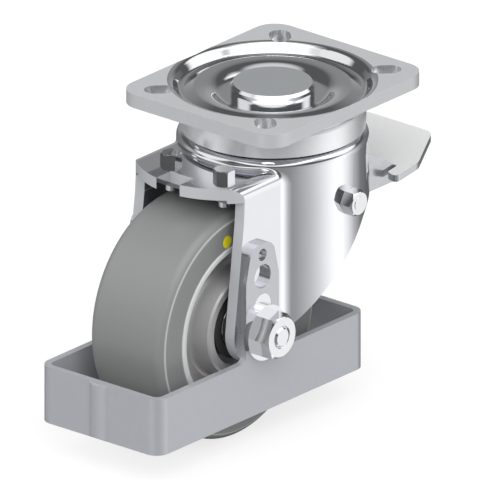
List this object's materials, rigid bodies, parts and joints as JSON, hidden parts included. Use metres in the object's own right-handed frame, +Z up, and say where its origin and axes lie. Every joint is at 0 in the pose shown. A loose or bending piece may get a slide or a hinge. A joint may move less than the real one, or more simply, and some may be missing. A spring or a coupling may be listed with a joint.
{
  "type": "swivel castor",
  "caption": "Swivel castor on a slotted top plate, with a pressed fork, a rubber-tyred wheel, a brake pedal at the rear and a rectangular foot guard round the wheel.",
  "frame": {"origin": "centre of the plate's top face, where the swivel axis meets it", "axes": "+Z up along the swivel axis, -X towards the trailing wheel, +X towards the pedal, Y along the wheel's axle"},
  "size_m": [0.1943, 0.09, 0.14],
  "materials": {
    "plate_zinc": "satin zinc",
    "kingpin_steel": "turned, matt top",
    "bright_zinc": "bright zinc, mirror-like",
    "fastener_zinc": "bright zinc",
    "guard_zinc": "satin zinc",
    "pedal_zinc": "pale satin zinc",
    "bearing_steel": "ground",
    "spring_steel": "dark",
    "bearing_seal": "matt",
    "cast_alloy": "cast, satin",
    "grey_rubber": "matt",
    "yellow_paint": "matt"
  },
  "bodies": {
    "mount": {"mount_plate": "plate_zinc", "kingpin": "kingpin_steel", "dust_ring": "plate_zinc", "kingpin_sleeve": "bearing_steel", "lower_race": "bearing_steel", "lock_ring": "bearing_steel", "kingpin_nut": "fastener_zinc"},
    "swivel": {"fork": "bright_zinc", "upper_race": "bearing_steel", "upper_balls": "bearing_steel", "lower_balls": "bearing_steel", "flange_screws": "fastener_zinc", "clamp_plate": "bearing_steel", "brake_spring": "spring_steel", "pivot_bolt": "fastener_zinc", "pivot_nut": "fastener_zinc", "pivot_bushes": "bearing_steel", "foot_guard": "guard_zinc", "guard_pins": "fastener_zinc", "axle_bolt": "fastener_zinc", "axle_nut": "fastener_zinc", "axle_washers": "fastener_zinc", "axle_tube": "bearing_steel", "bearing_spacer": "bearing_steel", "end_collars": "bearing_steel", "bearing_inner_rings": "bearing_steel", "bearing_balls": "bearing_steel"},
    "wheel": {"tyre": "grey_rubber", "wheel_centre": "cast_alloy", "bearing_outer_rings": "bearing_steel", "bearing_shields": "bearing_seal", "marker_dot": "yellow_paint"},
    "pedal": {"brake_pedal": "pedal_zinc", "cam_roller": "bearing_steel", "cam_pin": "bearing_steel"},
    "brake": {"brake_shoe": "spring_steel"}
  },
  "joints": [
    {"name": "swivel_turn", "type": "hinge", "parent": "mount", "child": "swivel", "pos_m": [0, 0, 0], "axis": [0, 0, 1], "continuous": true},
    {"name": "wheel_spin", "type": "hinge", "parent": "swivel", "child": "wheel", "pos_m": [-0.045, 0, -0.09], "axis": [0, 1, 0], "continuous": true},
    {"name": "pedal_press", "type": "hinge", "parent": "swivel", "child": "pedal", "pos_m": [0.0015, 0, -0.044], "axis": [0, 1, 0], "range_deg": [0, 20]},
    {"name": "shoe_press", "type": "slide", "parent": "swivel", "child": "brake", "axis": [-0.7109, 0, -0.7033], "range_m": [0, 0.0015], "deforming": ["brake_spring"]}
  ],
  "couplings": [
    {"joint": "shoe_press", "follows": "pedal_press", "m_per_rad": 0.0042972}
  ]
}
